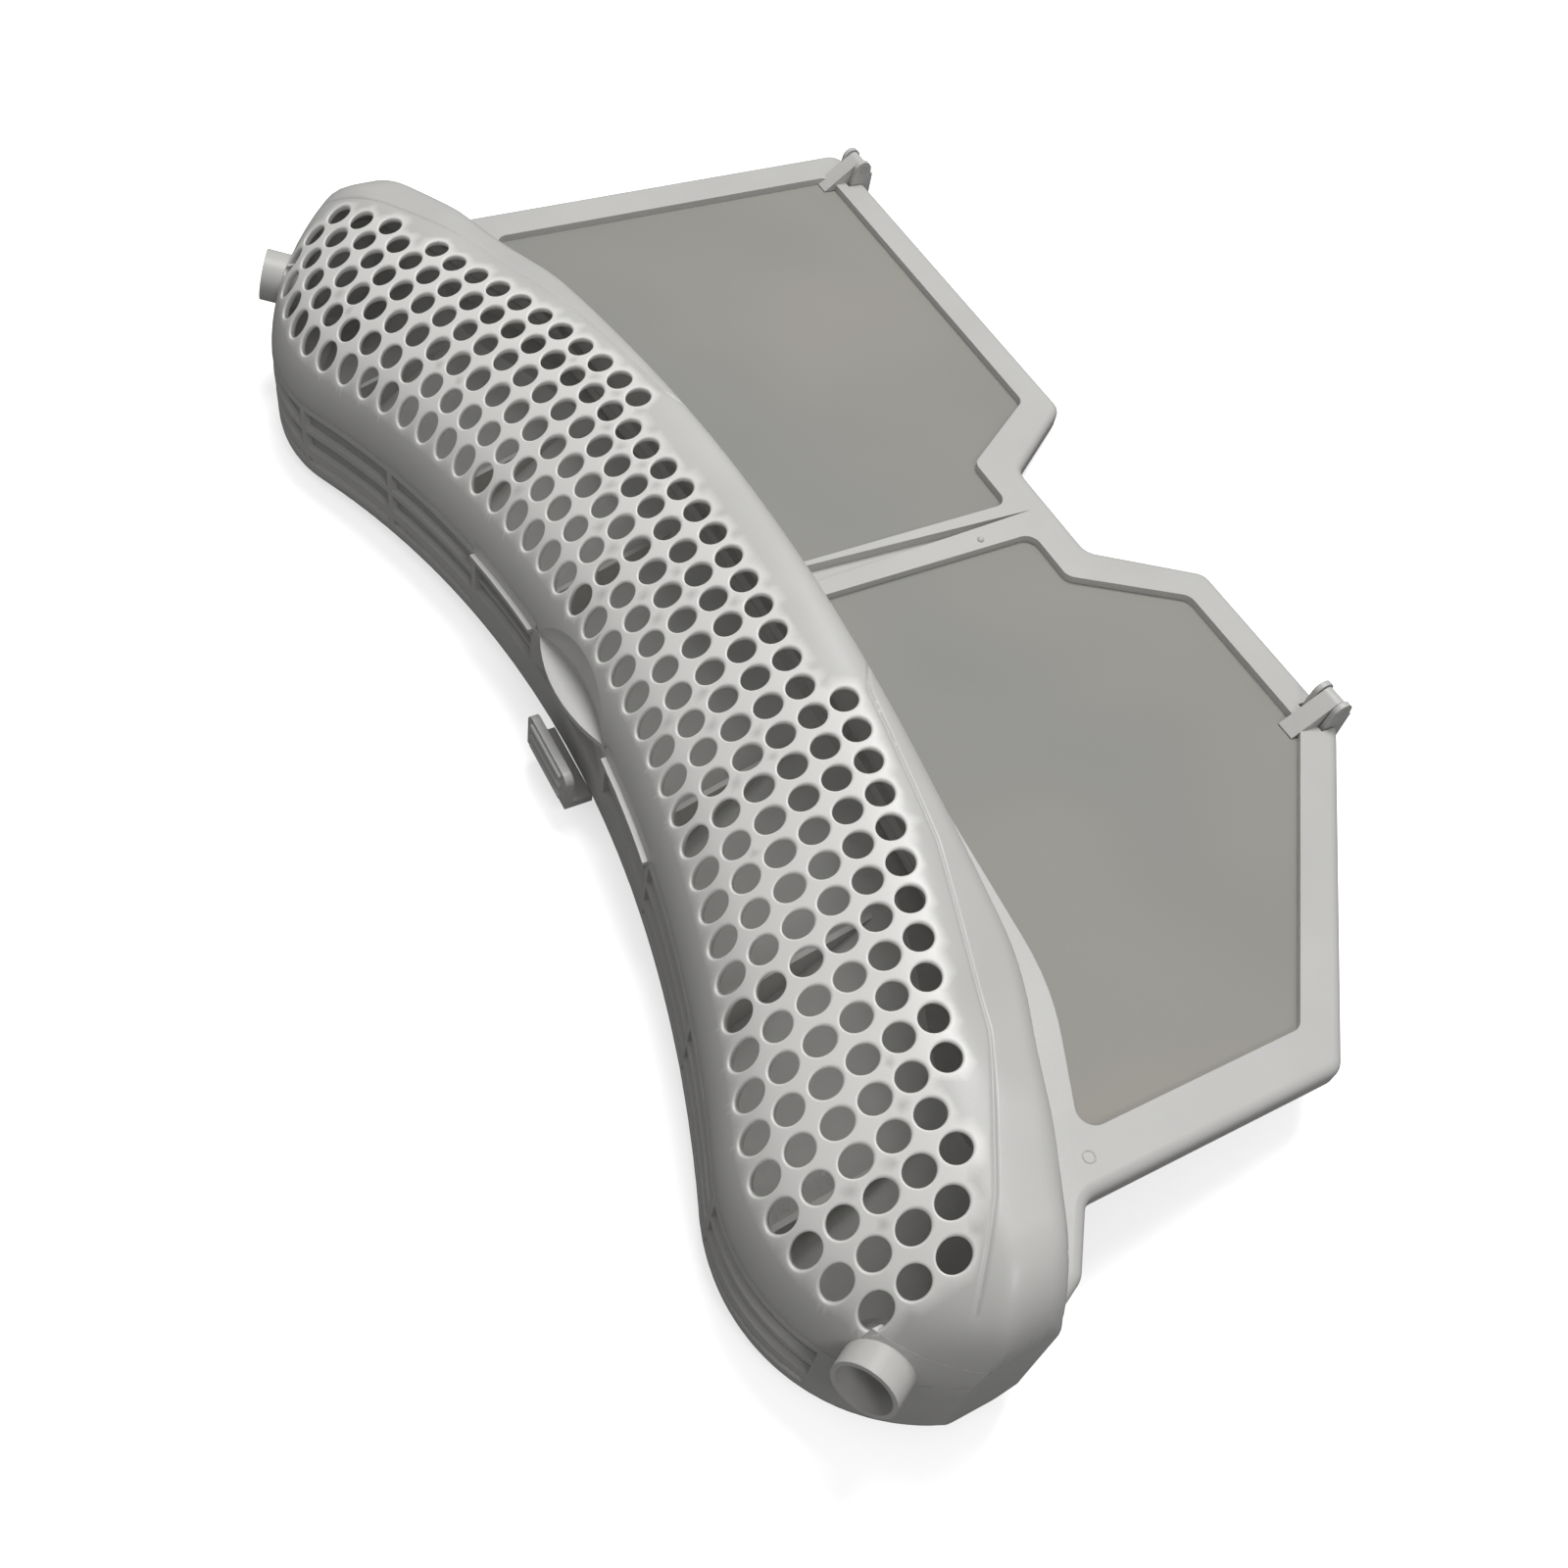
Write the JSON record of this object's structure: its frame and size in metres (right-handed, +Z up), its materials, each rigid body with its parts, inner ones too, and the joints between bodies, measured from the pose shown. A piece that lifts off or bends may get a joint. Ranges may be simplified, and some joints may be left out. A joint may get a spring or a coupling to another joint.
{
  "type": "lint filter",
  "caption": "Two-part tumble dryer lint filter: a curved perforated head with slotted wall and finger scoop over a hinged two-window mesh panel.",
  "frame": {"origin": "centre of the resting footprint box, on the floor under the filter as it lies", "axes": "+X along the length, +Y from the finger scoop side towards the far edge of the screen panel, +Z up"},
  "size_m": [0.396, 0.2162, 0.0633],
  "materials": {
    "shell": "semi-gloss moulded plastic",
    "frame": "semi-gloss moulded plastic",
    "mesh": "fine woven polyester mesh",
    "pin": "plain moulded plastic"
  },
  "bodies": {
    "rear_half": {"rear_frame": "frame", "rear_mesh_left": "mesh", "rear_mesh_right": "mesh", "rear_shell": "shell", "shell_mesh_left": "mesh", "shell_mesh_right": "mesh", "latch_tongue": "shell"},
    "front_half": {"front_grille": "shell", "front_frame": "frame", "front_mesh_left": "mesh", "front_mesh_right": "mesh", "hinge_pin_left": "pin", "hinge_pin_right": "pin"}
  },
  "joints": [
    {"name": "book_hinge", "type": "hinge", "parent": "rear_half", "child": "front_half", "pos_m": [0, 0.10465, 0.01261], "axis": [-1, 0, 0], "range_deg": [0, 110]}
  ]
}
